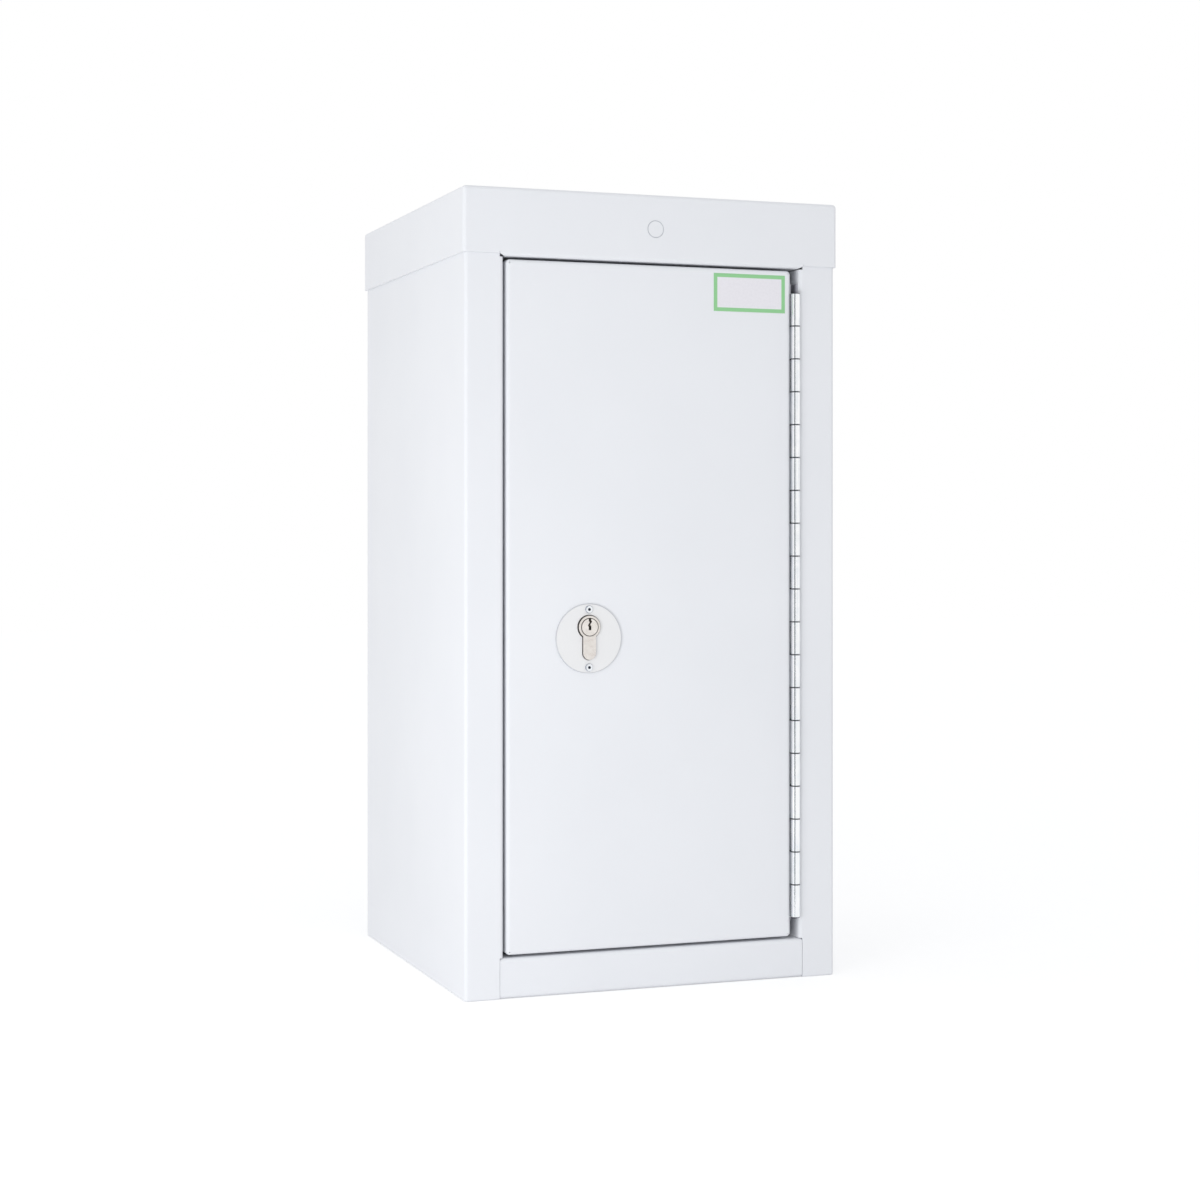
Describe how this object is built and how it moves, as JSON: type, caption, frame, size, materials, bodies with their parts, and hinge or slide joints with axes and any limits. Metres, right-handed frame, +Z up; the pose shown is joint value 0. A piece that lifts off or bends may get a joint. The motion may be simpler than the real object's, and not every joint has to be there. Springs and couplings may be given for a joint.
{
  "type": "lockable medicine cabinet",
  "caption": "White steel wall cabinet with an inset right-hung door on a full-length knuckle hinge, a round lock plate with a profile cylinder, and shelves behind the door.",
  "frame": {"origin": "middle of the footprint, at the bottom edge of the carcass", "axes": "+Z up, front towards -Y, wall towards +Y, hinge side towards +X"},
  "size_m": [0.3032, 0.2964, 0.6],
  "materials": {
    "white_coat": "satin powder coat",
    "zinc_plate": "bright zinc plate",
    "nickel": "satin nickel",
    "bolt_steel": "plain drawn steel",
    "rivet_aluminium": "bright",
    "label_face": "printed film"
  },
  "bodies": {
    "cabinet": {"body_wrap": "white_coat", "floor_pan": "white_coat", "top_cap": "white_coat", "ceiling_panel": "white_coat", "blanking_plug": "white_coat", "shelf_lower": "white_coat", "shelf_upper": "white_coat", "shelf_ledges": "white_coat", "hinge_frame_leaf": "zinc_plate", "hinge_pin": "zinc_plate"},
    "door": {"door_outer_skin": "white_coat", "door_inner_skin": "white_coat", "hinge_door_leaf": "zinc_plate", "lock_escutcheon": "white_coat", "escutcheon_rivets": "rivet_aluminium", "cylinder_body": "nickel", "cylinder_bracket": "zinc_plate", "cylinder_screw": "zinc_plate", "guide_studs": "zinc_plate", "guide_clips": "zinc_plate", "lock_cover": "white_coat", "lock_cover_screws": "zinc_plate", "label_plate": "label_face"},
    "lock_plug": {"cylinder_plug": "nickel", "cylinder_cam": "nickel"},
    "bolt_work": {"bolt_bar": "bolt_steel", "locking_bolts": "bolt_steel"}
  },
  "joints": [
    {"name": "door_swing", "type": "hinge", "parent": "cabinet", "child": "door", "pos_m": [0.1165, -0.14475, 0.2883], "axis": [0, 0, 1], "range_deg": [0, 180]},
    {"name": "plug_turn", "type": "hinge", "parent": "door", "child": "lock_plug", "pos_m": [-0.0536, -0.14375, 0.274], "axis": [0, -1, 0], "range_deg": [0, 70]},
    {"name": "bolt_throw", "type": "slide", "parent": "door", "child": "bolt_work", "axis": [-1, 0, 0], "range_m": [0, 0.01376]}
  ],
  "couplings": [
    {"joint": "plug_turn", "follows": "bolt_throw", "rad_per_m": 88.75}
  ]
}
